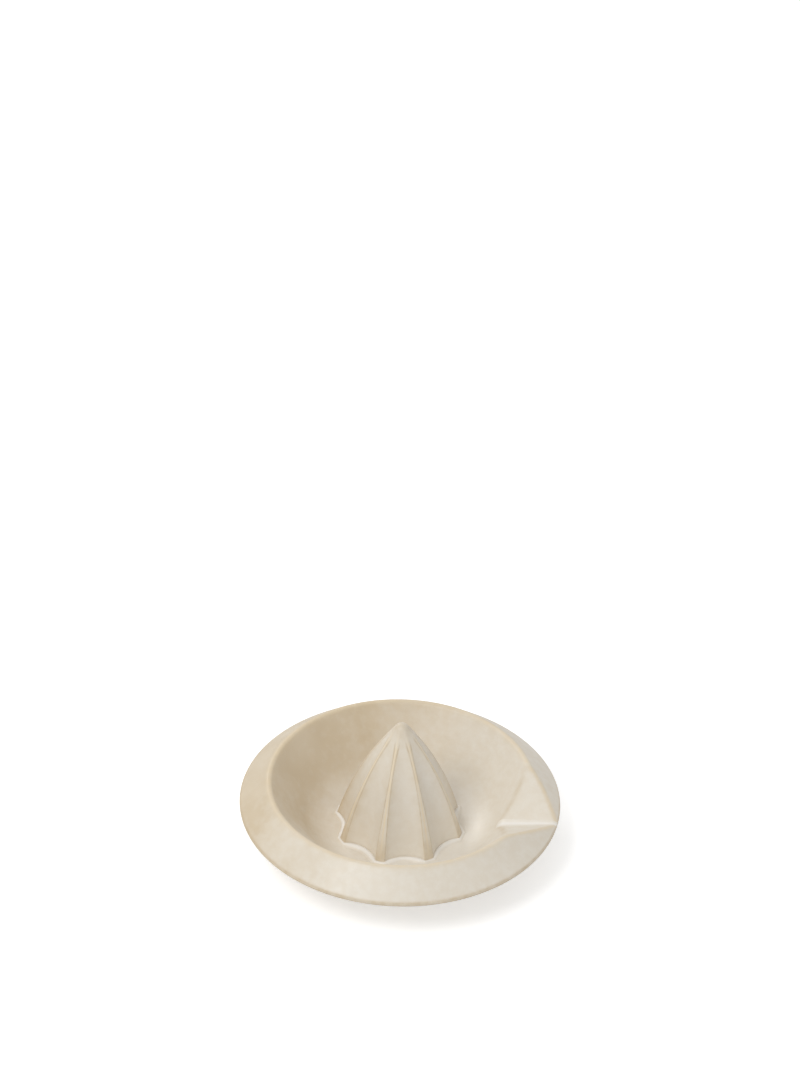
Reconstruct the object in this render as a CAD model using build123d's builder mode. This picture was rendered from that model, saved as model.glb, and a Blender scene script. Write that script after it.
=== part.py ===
from build123d import *
import math
import os

# Glazed ceramic citrus juicer: a shallow bowl with a fluted reamer in its middle, a brim that slopes down to
# a rounded lip, and a V-shaped pouring spout. Units are millimetres. The origin is on the reamer's axis at
# the table, +Z is up, and the spout points along +X.

# Heights: the foot, the lip above the table and the rim above the lip
foot_height = 3.2
lip_height = 23.1
rim_rise = 9.9

# Thickness of the bowl's floor and wall
wall_thickness = 4.8

# Bowl, whose flat floor is as wide as the reamer and a small margin round it
floor_margin = 0.4
bowl_corner_radius = 20.0
wall_angle = 51.0
rim_round = 2.4

# Brim
brim_width = 14.45
lip_round = 1.6

# Foot ring, under the bowl's corner, reaching this far past the flat floor
foot_ring_reach = 7.3
foot_ring_width = 5.0
foot_ring_edge = 0.8

# Reamer
reamer_base_radius = 32.3
reamer_height = 62.9
ridge_line_radius = 180.0
reamer_tip_round = 4.0
reamer_wall = 4.8
reamer_turn = -4.2
hollow_tip_round = 3.0

# Flutes between the reamer's ridges
flute_count = 8
flute_radius = 17.0
flute_depth_at_base = 5.1
flute_depth_halfway = 2.95
flute_end_below_apex = 5.0

# Spout
spout_facet_slope = 0.575
spout_valley_slope = 0.235
spout_tip_rise = 1.1
spout_tip_drop = 0.6
spout_root_reach = 14.3
spout_root_skin = 3.9
spout_keel_radius = 5.0

# Glaze beads
reamer_bead_width = 1.9
reamer_bead_height = 1.2
reamer_bead_round = 0.5
reamer_bead_corner = 1.2
spout_bead_depth = 1.2

# One overrun serves every cut that has to pass right through a surface
overrun = 6.0


# Plane geometry in the (radius, height) plane, with every point a pair of millimetres
def moved(point, direction, distance):
    return (point[0] + direction[0] * distance, point[1] + direction[1] * distance)


def crossing(point_a, direction_a, point_b, direction_b):
    """Where two straight lines cross."""
    det = direction_a[0] * direction_b[1] - direction_a[1] * direction_b[0]
    gap = (point_b[0] - point_a[0], point_b[1] - point_a[1])
    along = (gap[0] * direction_b[1] - gap[1] * direction_b[0]) / det
    return moved(point_a, direction_a, along)


def inner_circle_meeting(centre_a, radius_a, centre_b, radius_b):
    """Where two circles meet, taking the meeting point nearer the far side of the axis."""
    gap = (centre_b[0] - centre_a[0], centre_b[1] - centre_a[1])
    reach = math.hypot(*gap)
    unit = (gap[0] / reach, gap[1] / reach)
    along = (radius_a**2 - radius_b**2 + reach**2) / (2 * reach)
    across = math.sqrt(radius_a**2 - along**2)
    foot = moved(centre_a, unit, along)
    sides = [moved(foot, (-unit[1], unit[0]), across), moved(foot, (unit[1], -unit[0]), across)]
    return min(sides)


def circle_through(a, b, c):
    """Centre and radius of the circle through three points."""
    middle_ab = ((a[0] + b[0]) / 2, (a[1] + b[1]) / 2)
    middle_bc = ((b[0] + c[0]) / 2, (b[1] + c[1]) / 2)
    square_ab = (a[1] - b[1], b[0] - a[0])
    square_bc = (b[1] - c[1], c[0] - b[0])
    centre = crossing(middle_ab, square_ab, middle_bc, square_bc)
    return centre, math.dist(centre, a)


def unit_between(a, b):
    reach = math.dist(a, b)
    return ((b[0] - a[0]) / reach, (b[1] - a[1]) / reach)


# Directions of the bowl's wall: up along it, and square to it into the bowl
wall_up = (math.cos(math.radians(wall_angle)), math.sin(math.radians(wall_angle)))
wall_in = (-wall_up[1], wall_up[0])

# Floor, and the corner that turns up from it into the wall
floor_height = foot_height + wall_thickness
floor_flat_radius = reamer_base_radius + floor_margin
corner_centre = (floor_flat_radius, floor_height + bowl_corner_radius)
wall_foot = moved(corner_centre, wall_in, -bowl_corner_radius)

# Inner wall, up to where the rim's rounding starts
rim_height = lip_height + rim_rise
wall_rise = rim_height + wall_in[1] * rim_round - wall_foot[1]
wall_top = moved(wall_foot, wall_up, wall_rise / wall_up[1])

# Rim, and the lip one brim width outside it
rim_centre = moved(wall_top, wall_in, -rim_round)
rim_crest_height = rim_centre[1] + rim_round
outer_radius = rim_centre[0] + brim_width
lip_centre = (outer_radius - lip_round, lip_height)

# The brim's top is the common tangent of the rim's and the lip's rounding
centre_line = unit_between(rim_centre, lip_centre)
tangent_lean = (rim_round - lip_round) / math.dist(rim_centre, lip_centre)
tangent_rise = math.sqrt(1 - tangent_lean**2)
brim_up = (
    centre_line[0] * tangent_lean - centre_line[1] * tangent_rise,
    centre_line[1] * tangent_lean + centre_line[0] * tangent_rise,
)
brim_down = (brim_up[1], -brim_up[0])

# Outer wall, one wall thickness outside the inner wall
outer_corner_radius = bowl_corner_radius + wall_thickness
outer_wall_foot = moved(corner_centre, wall_in, -outer_corner_radius)
brim_top_start = moved(rim_centre, brim_up, rim_round)
brim_top_end = moved(lip_centre, brim_up, lip_round)
lip_tip = moved(lip_centre, brim_down, lip_round)
lip_under = moved(lip_centre, brim_up, -lip_round)
seam_top = crossing(outer_wall_foot, wall_up, brim_top_start, brim_down)
seam_bottom = crossing(outer_wall_foot, wall_up, lip_under, brim_down)

# The rim's crown, a point on its rounding halfway between wall and brim
rim_crown_angle = math.atan2(wall_in[1] + brim_up[1], wall_in[0] + brim_up[0])
rim_crown = moved(rim_centre, (math.cos(rim_crown_angle), math.sin(rim_crown_angle)), rim_round)


def point_on_corner(radius_of_arc, share):
    """A point on a floor corner arc, with the floor at share 0 and the wall at share 1."""
    turn = math.radians(wall_angle) * share
    return moved(corner_centre, (math.sin(turn), -math.cos(turn)), radius_of_arc)


middle_share = 0.5
corner_middle = point_on_corner(bowl_corner_radius, middle_share)
outer_corner_middle = point_on_corner(outer_corner_radius, middle_share)

# Reamer: the ridge line is an arc that runs into the rounded tip
tip_centre = (0, floor_height + reamer_height - reamer_tip_round)
reamer_base = (reamer_base_radius, floor_height)
ridge_centre = inner_circle_meeting(
    reamer_base, ridge_line_radius, tip_centre, ridge_line_radius - reamer_tip_round
)
apex = (0, floor_height + reamer_height)


def on_ridge_line(height):
    """The ridge line's point at a height above the table."""
    rise = height - ridge_centre[1]
    return (ridge_centre[0] + math.sqrt(ridge_line_radius**2 - rise**2), height)


halfway_height = floor_height + reamer_height / 2
ridge_top = moved(ridge_centre, unit_between(ridge_centre, tip_centre), ridge_line_radius)
ridge_middle = on_ridge_line(halfway_height)

# Flutes: the bottom line of each is an arc through its foot, its middle and its end near the tip
flute_foot = (reamer_base_radius - flute_depth_at_base, floor_height)
flute_middle = (ridge_middle[0] - flute_depth_halfway, halfway_height)
flute_end = on_ridge_line(apex[1] - flute_end_below_apex)
flute_centre, flute_line_radius = circle_through(flute_foot, flute_middle, flute_end)
first_flute_angle = reamer_turn + 360 / flute_count / 2


def flute_angle(height):
    """Angle along the flute's bottom line, in degrees above level, at a height above the table."""
    return math.degrees(math.asin((height - flute_centre[1]) / flute_line_radius))


flute_start_angle = flute_angle(floor_height - overrun)
flute_stop_angle = flute_angle(apex[1] + overrun)
flute_foot_round = flute_radius / math.cos(math.radians(flute_angle(floor_height)))

# Hollow under the reamer, one wall inside the bottoms of the flutes
hollow_line_radius = flute_line_radius - reamer_wall
hollow_foot_rise = floor_height - flute_centre[1]
hollow_base_radius = flute_centre[0] + math.sqrt(hollow_line_radius**2 - hollow_foot_rise**2)
hollow_reach = math.sqrt((hollow_line_radius - hollow_tip_round) ** 2 - flute_centre[0] ** 2)
hollow_tip_centre = (0, flute_centre[1] + hollow_reach)
hollow_top = moved(flute_centre, unit_between(flute_centre, hollow_tip_centre), hollow_line_radius)
hollow_apex = (0, hollow_tip_centre[1] + hollow_tip_round)


def on_hollow_line(height):
    rise = height - flute_centre[1]
    return (flute_centre[0] + math.sqrt(hollow_line_radius**2 - rise**2), height)


hollow_middle = on_hollow_line((floor_height + hollow_top[1]) / 2)

# Foot ring, whose top follows the underside of the bowl
foot_outer = floor_flat_radius + foot_ring_reach
foot_inner = foot_outer - foot_ring_width


def underside_height(radius):
    """Height of the bowl's underside at a radius within the floor or its corner arc."""
    past_flat = max(radius - floor_flat_radius, 0)
    return corner_centre[1] - math.sqrt(outer_corner_radius**2 - past_flat**2)


# Spout: heights above the table of the V's valley and of its rounded keel, at the lip and at the root
spout_root_radius = floor_flat_radius + spout_root_reach
spout_run = outer_radius - spout_root_radius
valley_tip_height = lip_height + spout_tip_rise
valley_root_height = valley_tip_height - spout_valley_slope * spout_run
keel_tip_height = lip_height - lip_round - spout_tip_drop
keel_root_height = valley_root_height - spout_root_skin
keel_slope = (keel_tip_height - keel_root_height) / spout_run
wedge_height = rim_crest_height + overrun - keel_root_height


# The dish's upper surface as a filled solid, which bounds the spout and its glaze
with BuildPart() as dish_envelope:
    with BuildSketch(Plane.XZ):
        with BuildLine():
            Line((0, 0), (outer_radius, 0))
            Line((outer_radius, 0), (outer_radius, lip_height))
            CenterArc(lip_centre, lip_round, 0, math.degrees(math.atan2(brim_up[1], brim_up[0])))
            Line(brim_top_end, brim_top_start)
            ThreePointArc(brim_top_start, rim_crown, wall_top)
            Line(wall_top, wall_foot)
            ThreePointArc(wall_foot, corner_middle, (floor_flat_radius, floor_height))
            Line((floor_flat_radius, floor_height), (0, floor_height))
            Line((0, floor_height), (0, 0))
        make_face()
    revolve(axis=Axis.Z)


def v_wedge(bottom_height, slope_along, bottom_round):
    """The space above the two facets of a V, from the spout's root out past the lip."""
    half_width = wedge_height / spout_facet_slope
    # A rounded V has its corner lower down, so that its bottom stands at the height asked for
    corner_height = bottom_height - bottom_round * (math.hypot(1, spout_facet_slope) - 1)
    with BuildPart() as wedge:
        with BuildSketch(Plane.YZ.offset(spout_root_radius)) as mouth:
            with BuildLine():
                Polyline(
                    (0, corner_height),
                    (half_width, corner_height + wedge_height),
                    (-half_width, corner_height + wedge_height),
                    close=True,
                )
            make_face()
            if bottom_round:
                fillet(mouth.vertices().group_by(Axis.Y)[0], bottom_round)
        run = spout_run + overrun
        extrude(amount=run * math.hypot(1, slope_along), dir=(1, 0, slope_along))
    return wedge.part


keel_wedge = v_wedge(keel_root_height, keel_slope, spout_keel_radius)
valley_wedge = v_wedge(valley_root_height, spout_valley_slope, 0)

# Bowl: floor, corner, wall and rim, open in the middle under the reamer
with BuildPart() as bowl:
    with BuildSketch(Plane.XZ):
        with BuildLine():
            Line((hollow_base_radius, floor_height), (floor_flat_radius, floor_height))
            ThreePointArc((floor_flat_radius, floor_height), corner_middle, wall_foot)
            Line(wall_foot, wall_top)
            ThreePointArc(wall_top, rim_crown, brim_top_start)
            Line(brim_top_start, seam_top)
            Line(seam_top, outer_wall_foot)
            ThreePointArc(outer_wall_foot, outer_corner_middle, (floor_flat_radius, foot_height))
            Line((floor_flat_radius, foot_height), (hollow_base_radius, foot_height))
            Line((hollow_base_radius, foot_height), (hollow_base_radius, floor_height))
        make_face()
    revolve(axis=Axis.Z)
    add(keel_wedge, mode=Mode.SUBTRACT)

bowl.part.label = "bowl"
export_step(bowl.part, "parts/bowl.step")

# Brim: the flange that slopes from the outside of the wall down to its rounded lip
with BuildPart() as brim:
    with BuildSketch(Plane.XZ):
        with BuildLine():
            Line(seam_bottom, seam_top)
            Line(seam_top, brim_top_end)
            ThreePointArc(brim_top_end, lip_tip, lip_under)
            Line(lip_under, seam_bottom)
        make_face()
    revolve(axis=Axis.Z)
    add(keel_wedge, mode=Mode.SUBTRACT)

brim.part.label = "brim"
export_step(brim.part, "parts/brim.step")

# Spout: a folded sheet of clay in the notch, with the pouring channel above it and a rounded keel below
with BuildPart() as spout:
    add(dish_envelope.part)
    add(keel_wedge, mode=Mode.INTERSECT)
    add(valley_wedge, mode=Mode.SUBTRACT)

spout.part.label = "spout"
export_step(spout.part, "parts/spout.step")

# Foot ring: bare clay under the bowl's corner, with its standing edges eased
with BuildPart() as foot_ring:
    with BuildSketch(Plane.XZ) as foot_section:
        with BuildLine():
            foot_middle = (foot_inner + foot_outer) / 2
            Line((foot_inner, 0), (foot_outer, 0))
            Line((foot_outer, 0), (foot_outer, underside_height(foot_outer)))
            ThreePointArc(
                (foot_outer, underside_height(foot_outer)),
                (foot_middle, underside_height(foot_middle)),
                (foot_inner, underside_height(foot_inner)),
            )
            Line((foot_inner, underside_height(foot_inner)), (foot_inner, 0))
        make_face()
        fillet(foot_section.vertices().group_by(Axis.Y)[0], foot_ring_edge)
    revolve(axis=Axis.Z)

foot_ring.part.label = "foot_ring"
export_step(foot_ring.part, "parts/foot_ring.step")

# One flute's cutter: a round bar bent along the flute's bottom line, from below the floor to above the apex
with BuildPart() as flute_cutter:
    with BuildSketch(Plane.XY):
        with Locations((flute_line_radius + flute_radius, 0)):
            Circle(flute_radius)
    revolve(axis=Axis.Y, revolution_arc=flute_start_angle - flute_stop_angle)

# The reamer's outside: the ridge line turned round the axis, with a flute cut between each pair of ridges
with BuildPart() as fluted_cone:
    with BuildSketch(Plane.XZ):
        with BuildLine():
            Line((0, floor_height), reamer_base)
            ThreePointArc(reamer_base, ridge_middle, ridge_top)
            RadiusArc(ridge_top, apex, -reamer_tip_round)
            Line(apex, (0, floor_height))
        make_face()
    revolve(axis=Axis.Z)
    with PolarLocations(0, flute_count, start_angle=first_flute_angle):
        with Locations(Location((flute_centre[0], 0, flute_centre[1]), (0, -flute_start_angle, 0))):
            add(flute_cutter.part, mode=Mode.SUBTRACT)

# Reamer: the fluted cone, hollow underneath
with BuildPart() as reamer:
    add(fluted_cone.part)
    with BuildSketch(Plane.XZ):
        with BuildLine():
            Line((0, floor_height), (hollow_base_radius, floor_height))
            ThreePointArc((hollow_base_radius, floor_height), hollow_middle, hollow_top)
            RadiusArc(hollow_top, hollow_apex, -hollow_tip_round)
            Line(hollow_apex, (0, floor_height))
        make_face()
    revolve(axis=Axis.Z, mode=Mode.SUBTRACT)
    add(bowl.part, mode=Mode.SUBTRACT)

reamer.part.label = "reamer"
export_step(reamer.part, "parts/reamer.step")

# Glaze pooled round the reamer's foot: the fluted outline grown by the bead's width, standing on the floor
with BuildPart() as reamer_glaze_bead:
    with BuildSketch(Plane.XY.offset(floor_height)) as bead_outline:
        Circle(reamer_base_radius + reamer_bead_width)
        with PolarLocations(flute_foot[0] + flute_foot_round, flute_count, start_angle=first_flute_angle):
            Circle(flute_foot_round - reamer_bead_width, mode=Mode.SUBTRACT)
        fillet(bead_outline.vertices(), reamer_bead_corner)
    extrude(amount=reamer_bead_height)
    fillet(reamer_glaze_bead.edges().group_by(Axis.Z)[-1], reamer_bead_round)
    add(fluted_cone.part, mode=Mode.SUBTRACT)
    add(bowl.part, mode=Mode.SUBTRACT)

reamer_glaze_bead.part.label = "reamer_glaze_bead"
export_step(reamer_glaze_bead.part, "parts/reamer_glaze_bead.step")

# Glaze pooled in the bottom of the spout's V
with BuildPart() as spout_glaze_bead:
    bead_half_width = spout_bead_depth / spout_facet_slope
    with BuildSketch(Plane.YZ.offset(spout_root_radius)):
        with BuildLine():
            Polyline(
                (0, valley_root_height),
                (bead_half_width, valley_root_height + spout_bead_depth),
                (-bead_half_width, valley_root_height + spout_bead_depth),
                close=True,
            )
        make_face()
    bead_run = spout_run + overrun
    extrude(amount=bead_run * math.hypot(1, spout_valley_slope), dir=(1, 0, spout_valley_slope))
    add(dish_envelope.part, mode=Mode.INTERSECT)

spout_glaze_bead.part.label = "spout_glaze_bead"
export_step(spout_glaze_bead.part, "parts/spout_glaze_bead.step")
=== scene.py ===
import math

import bmesh
import bpy
import numpy as np
from mathutils import Matrix, Vector


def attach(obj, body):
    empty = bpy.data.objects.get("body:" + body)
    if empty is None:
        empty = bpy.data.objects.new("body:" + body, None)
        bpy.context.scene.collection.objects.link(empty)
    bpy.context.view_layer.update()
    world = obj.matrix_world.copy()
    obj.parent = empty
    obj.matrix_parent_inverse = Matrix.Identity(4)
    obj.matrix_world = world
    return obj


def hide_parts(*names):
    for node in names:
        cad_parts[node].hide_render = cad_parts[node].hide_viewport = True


# A glazed ceramic citrus juicer: a shallow bowl with a fluted reamer in its middle, a brim that slopes down
# to a rounded lip, and a V-shaped pouring spout along +X. Sizes are millimetres, and mm turns them to metres.
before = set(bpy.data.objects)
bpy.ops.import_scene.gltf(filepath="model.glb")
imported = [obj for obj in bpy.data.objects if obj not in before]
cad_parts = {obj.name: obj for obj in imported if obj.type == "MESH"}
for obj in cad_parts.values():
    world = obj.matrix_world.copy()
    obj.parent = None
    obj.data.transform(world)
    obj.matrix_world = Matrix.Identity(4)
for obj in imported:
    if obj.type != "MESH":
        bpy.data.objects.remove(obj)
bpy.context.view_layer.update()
mm = 0.001

# Section of the dish, with the same driving sizes as the part's source
foot_height = 3.2
lip_height = 23.1
rim_rise = 9.9
wall_thickness = 4.8
floor_margin = 0.4
bowl_corner_radius = 20.0
wall_angle = math.radians(51.0)
rim_round = 2.4
brim_width = 14.45
lip_round = 1.6
foot_ring_reach = 7.3
foot_ring_width = 5.0
foot_ring_edge = 0.8

# Reamer
reamer_base_radius = 32.3
reamer_height = 62.9
ridge_line_radius = 180.0
reamer_tip_round = 4.0
reamer_wall = 4.8
reamer_turn = math.radians(-4.2)
hollow_tip_round = 3.0
flute_count = 8
flute_radius = 17.0
flute_depth_at_base = 5.1
flute_depth_halfway = 2.95
flute_end_below_apex = 5.0

# Spout
spout_facet_slope = 0.575
spout_valley_slope = 0.235
spout_tip_rise = 1.1
spout_tip_drop = 0.6
spout_root_reach = 14.3
spout_root_skin = 3.9
spout_keel_radius = 5.0

# Softness of the glazed edges, which the solids leave sharp
crease_soft = 2.4
valley_soft = 0.35
under_brim_soft = 3.0
keel_soft = 1.6
ridge_edge_soft = 0.4
flute_end_soft = 1.1
lip_keel_round = 2.4

# The flutes' edges soften over this stretch below the apex, by no more than a share of the ridge's radius
flute_end_soft_from = 22.0
flute_end_soft_to = 6.0
most_soft_share = 0.3

# Glaze bead round the reamer, which reaches a little into the reamer and below the floor
bead_width = 3.2
bead_width_at_ridge = 1.5
bead_height = 1.3
bead_height_at_ridge = 0.8
bead_tuck = 0.3
bead_sink = 0.02
bead_root_depth = 0.25
bead_root_tuck = 1.2
bead_root_width_share = 0.95
bead_peak_share = 0.30
bead_roundness = 1.7

# Glaze strip along the bottom of the spout
pool_half_width_at_root = 3.1
pool_half_width_at_lip = 1.5
pool_spread_share = 1.15
pool_hollow = 0.25
pool_overrun = 1.1
pool_sink = 0.06
pool_thickness = 0.15
pool_lip_gap = 0.12

# Seams between the pieces, in plan: the spout is a leaf between two corners on the rim
seam_radius = 67.3
spout_leaf_angle = math.radians(32.0)
spout_lip_angle = math.radians(5.0)
spout_leaf_root = 46.5

# Glaze on the dish: how wide its edges are, how far inside the rim's centre the warm line lies, and how deep
# the V cuts in where it counts as the spout
edge_width = 1.5
rim_line_inset = 0.1
cut_depth = 1.2
spout_corner_from = math.radians(17)
spout_corner_to = math.radians(26)

# How far the glaze thins on each edge, as shares of its full thinning
crease_thin_share = 0.58
corner_less_thin_share = 0.4
rim_thin_share = 0.5
lip_thin_share = 0.85
edge_warm_share = 0.6
tip_thin_share = 0.45

# How far the glaze whitens where it pools, as shares of white
valley_pool_share = 0.5
valley_pool_width = 2.4
valley_pool_side = -0.7
floor_pool_share = 0.28
flute_pool_share = 0.24
bead_pool_share = 0.95
bead_less_pool_share = 0.2
strip_pool_share = 0.85

# Fineness of the grids: columns in the spout's sector and in the rest of the dish, and steps of each search
sector_columns = 84
sector_crowding = 1.25
rest_columns = 400
search_steps = 40
flute_columns = 15
flute_crowding = 1.6
ridge_columns = 7
foot_ring_columns = 288

# Widths of the narrow rows of faces beside a seam, a crease and either end of a rounding
seam_row = 0.12
least_row = 0.02
round_row = 0.1

# Points nearer than this are joined, and edges sharper than these angles stay sharp
join_reach = 0.0004
sharp_angle = math.radians(32)
foot_sharp_angle = math.radians(40)


def moved(point, direction, distance):
    return (point[0] + direction[0] * distance, point[1] + direction[1] * distance)


def crossing(point_a, direction_a, point_b, direction_b):
    """Where two straight lines cross."""
    det = direction_a[0] * direction_b[1] - direction_a[1] * direction_b[0]
    gap = (point_b[0] - point_a[0], point_b[1] - point_a[1])
    along = (gap[0] * direction_b[1] - gap[1] * direction_b[0]) / det
    return moved(point_a, direction_a, along)


def unit_between(a, b):
    reach = math.dist(a, b)
    return ((b[0] - a[0]) / reach, (b[1] - a[1]) / reach)


def circle_through(a, b, c):
    """Centre and radius of the circle through three points."""
    middle_ab = ((a[0] + b[0]) / 2, (a[1] + b[1]) / 2)
    middle_bc = ((b[0] + c[0]) / 2, (b[1] + c[1]) / 2)
    square_ab = (a[1] - b[1], b[0] - a[0])
    square_bc = (b[1] - c[1], c[0] - b[0])
    centre = crossing(middle_ab, square_ab, middle_bc, square_bc)
    return centre, math.dist(centre, a)


def inner_circle_meeting(centre_a, radius_a, centre_b, radius_b):
    """Where two circles meet, taking the meeting point on the far side of the axis."""
    reach = math.dist(centre_a, centre_b)
    unit = unit_between(centre_a, centre_b)
    along = (radius_a**2 - radius_b**2 + reach**2) / (2 * reach)
    across = math.sqrt(radius_a**2 - along**2)
    foot = moved(centre_a, unit, along)
    return min(moved(foot, (-unit[1], unit[0]), across), moved(foot, (unit[1], -unit[0]), across))


# Corners and centres of the dish's section, as pairs of radius and height
wall_up = (math.cos(wall_angle), math.sin(wall_angle))
wall_in = (-wall_up[1], wall_up[0])
floor_height = foot_height + wall_thickness
floor_flat_radius = reamer_base_radius + floor_margin
corner_centre = (floor_flat_radius, floor_height + bowl_corner_radius)
wall_foot = moved(corner_centre, wall_in, -bowl_corner_radius)
wall_rise = lip_height + rim_rise + wall_in[1] * rim_round - wall_foot[1]
wall_top = moved(wall_foot, wall_up, wall_rise / wall_up[1])
rim_centre = moved(wall_top, wall_in, -rim_round)
outer_radius = rim_centre[0] + brim_width
lip_centre = (outer_radius - lip_round, lip_height)
centre_line = unit_between(rim_centre, lip_centre)
tangent_lean = (rim_round - lip_round) / math.dist(rim_centre, lip_centre)
tangent_rise = math.sqrt(1 - tangent_lean**2)
brim_up = (
    centre_line[0] * tangent_lean - centre_line[1] * tangent_rise,
    centre_line[1] * tangent_lean + centre_line[0] * tangent_rise,
)
brim_start = moved(rim_centre, brim_up, rim_round)
brim_end = moved(lip_centre, brim_up, lip_round)
lip_under = moved(lip_centre, brim_up, -lip_round)
outer_corner_radius = bowl_corner_radius + wall_thickness
outer_wall_foot = moved(corner_centre, wall_in, -outer_corner_radius)
wall_steepness = math.tan(wall_angle)
brim_steepness = -brim_up[0] / brim_up[1]

# Reamer: ridge line, flute line and the line of its hollow
tip_centre = (0, floor_height + reamer_height - reamer_tip_round)
apex_height = floor_height + reamer_height
ridge_centre = inner_circle_meeting(
    (reamer_base_radius, floor_height), ridge_line_radius, tip_centre, ridge_line_radius - reamer_tip_round
)
ridge_top = moved(ridge_centre, unit_between(ridge_centre, tip_centre), ridge_line_radius)


def on_ridge_line(height):
    """Radius of the ridge line at a height above the table, below the rounded tip."""
    return ridge_centre[0] + np.sqrt(ridge_line_radius**2 - (height - ridge_centre[1]) ** 2)


halfway_height = floor_height + reamer_height / 2
flute_top_height = apex_height - flute_end_below_apex
flute_centre, flute_line_radius = circle_through(
    (reamer_base_radius - flute_depth_at_base, floor_height),
    (float(on_ridge_line(halfway_height)) - flute_depth_halfway, halfway_height),
    (float(on_ridge_line(flute_top_height)), flute_top_height),
)
hollow_line_radius = flute_line_radius - reamer_wall
hollow_reach = math.sqrt((hollow_line_radius - hollow_tip_round) ** 2 - flute_centre[0] ** 2)
hollow_tip_centre = (0, flute_centre[1] + hollow_reach)
hollow_top = moved(flute_centre, unit_between(flute_centre, hollow_tip_centre), hollow_line_radius)
hollow_base_radius = flute_centre[0] + math.sqrt(
    hollow_line_radius**2 - (floor_height - flute_centre[1]) ** 2
)
half_flute = math.pi / flute_count

# Spout: the valley's and the keel's straight lines, as heights above the table
valley_tip = lip_height + spout_tip_rise
spout_root_radius = floor_flat_radius + spout_root_reach
spout_run = outer_radius - spout_root_radius
keel_tip = lip_height - lip_round - spout_tip_drop
keel_root = valley_tip - spout_valley_slope * spout_run - spout_root_skin
keel_slope = (keel_tip - keel_root) / spout_run
keel_sink = spout_keel_radius * (math.hypot(1, spout_facet_slope) - 1)
behind_axis_slope = 3


def soft_min(a, b, softness):
    """The lower of two heights, with the edge between them rounded over."""
    share = np.clip(0.5 + 0.5 * (b - a) / np.maximum(softness, 1e-9), 0, 1)
    return b + (a - b) * share - softness * share * (1 - share)


def smooth_step(x):
    """Goes smoothly from 0 at 0 to 1 at 1."""
    t = np.clip(x, 0, 1)
    return t * t * (3 - 2 * t)


def rise(x, start, stop):
    """Goes smoothly from 0 at start to 1 at stop, which may be the lower of the two."""
    return smooth_step((x - start) / (stop - start))


def hump(x, middle, width):
    """Is 1 at the middle and falls to 0 on both sides of it."""
    return np.exp(-(((x - middle) / width) ** 2))


def arc_height(radius, centre, arc_radius, side):
    """Height of an arc at a radius, above its centre where side is 1 and below it where side is -1."""
    return centre[1] + side * np.sqrt(np.maximum(arc_radius**2 - (radius - centre[0]) ** 2, 0))


def dish_top(radius):
    """Height of the dish's upper surface, without the spout."""
    wall = wall_top[1] + (radius - wall_top[0]) * wall_steepness
    brim = brim_start[1] + (radius - brim_start[0]) * brim_steepness
    return np.select(
        [
            radius <= floor_flat_radius,
            radius <= wall_foot[0],
            radius <= wall_top[0],
            radius <= brim_start[0],
            radius <= brim_end[0],
        ],
        [
            np.full_like(radius, floor_height),
            arc_height(radius, corner_centre, bowl_corner_radius, -1),
            wall,
            arc_height(radius, rim_centre, rim_round, 1),
            brim,
        ],
        arc_height(radius, lip_centre, lip_round, 1),
    )


def dish_under(radius):
    """Height of the dish's lower surface, without the spout's keel, with a fillet under the brim."""
    wall = outer_wall_foot[1] + (radius - outer_wall_foot[0]) * wall_steepness
    brim = lip_under[1] + (radius - lip_under[0]) * brim_steepness
    flange = soft_min(wall, brim, under_brim_soft)
    return np.select(
        [radius <= floor_flat_radius, radius <= outer_wall_foot[0], radius <= lip_under[0]],
        [
            np.full_like(radius, foot_height),
            arc_height(radius, corner_centre, outer_corner_radius, -1),
            flange,
        ],
        arc_height(radius, lip_centre, lip_round, -1),
    )


def behind_axis(x):
    """Lifts the spout's surfaces out of the way on the far side of the dish."""
    return behind_axis_slope * np.maximum(-x, 0)


def valley_height(x, y):
    """Height of the spout's V, whose bottom is slightly rounded."""
    along = valley_tip + (x - outer_radius) * spout_valley_slope + behind_axis(x)
    return along + spout_facet_slope * np.hypot(y, valley_soft)


def valley_round(radius, angle):
    """Height of the spout's V at a radius and an angle."""
    return valley_height(radius * np.cos(angle), radius * np.sin(angle))


def keel_height(x, y):
    """Height of the rounded keel under the spout."""
    round_width = keel_sink / spout_facet_slope
    bottom = keel_tip + (x - outer_radius) * keel_slope - keel_sink + behind_axis(x)
    return bottom + spout_facet_slope * np.hypot(y, round_width)


def lip_fade(radius):
    """Falls from 1 to 0 over the last stretch before the lip, as a quarter of an ellipse does."""
    into = np.clip((radius - (outer_radius - lip_keel_round)) / lip_keel_round, 0, 1)
    return np.sqrt(1 - into**2)


def top_height(radius, angle):
    """Upper surface of the whole dish, with the spout cut into it."""
    return soft_min(dish_top(radius), valley_round(radius, angle), crease_soft)


def under_height(radius, angle):
    """Lower surface of the whole dish, with the spout's keel added."""
    fade = lip_fade(radius)
    keel = keel_height(radius * np.cos(angle), radius * np.sin(angle))
    keel = lip_height + (keel - lip_height) * fade
    return soft_min(dish_under(radius), keel, keel_soft * fade)


def crowd_both(rows):
    """Shares from 0 to 1 that crowd towards both ends."""
    return 0.5 - 0.5 * np.cos(np.pi * np.linspace(0, 1, rows))


def stations(*stops):
    """Radii through a list of (radius, how many steps lead to it), the first one having no steps."""
    out = [stops[0][0]]
    for radius, steps in stops[1:]:
        out.extend(np.linspace(out[-1], radius, steps + 1)[1:])
    return np.array(out)


def stretched(rows, fixed, seam):
    """A grid of radii whose rows keep a fixed radius at one end and follow the seam at the other."""
    share = (rows - fixed) / (seam_radius - fixed)
    return fixed + share[:, None] * (seam - fixed)[None, :]


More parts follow.
